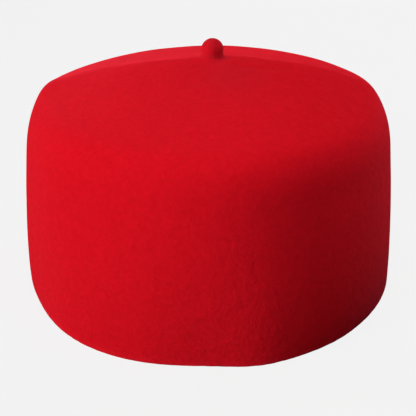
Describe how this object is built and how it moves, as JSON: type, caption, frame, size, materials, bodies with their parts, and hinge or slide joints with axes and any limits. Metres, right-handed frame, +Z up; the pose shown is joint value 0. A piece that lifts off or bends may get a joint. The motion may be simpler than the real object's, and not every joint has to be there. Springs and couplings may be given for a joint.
{
  "type": "fez hat",
  "caption": "Soft one-piece red wool felt fez: round tapering wall, low crested crown and a small felted nub on top, open underneath for the head.",
  "frame": {"origin": "on the surface that the cut rim stands on, under the middle of the hat's box", "axes": "+Z up through the crown, -Y to the hat's front, +X to its left-to-right crest's right end as the front is seen"},
  "size_m": [0.189, 0.1876, 0.1228],
  "materials": {
    "red_felt": "matt wool felt with a fine nap"
  },
  "bodies": {
    "root": {"felt_cap": "red_felt"}
  },
  "joints": []
}
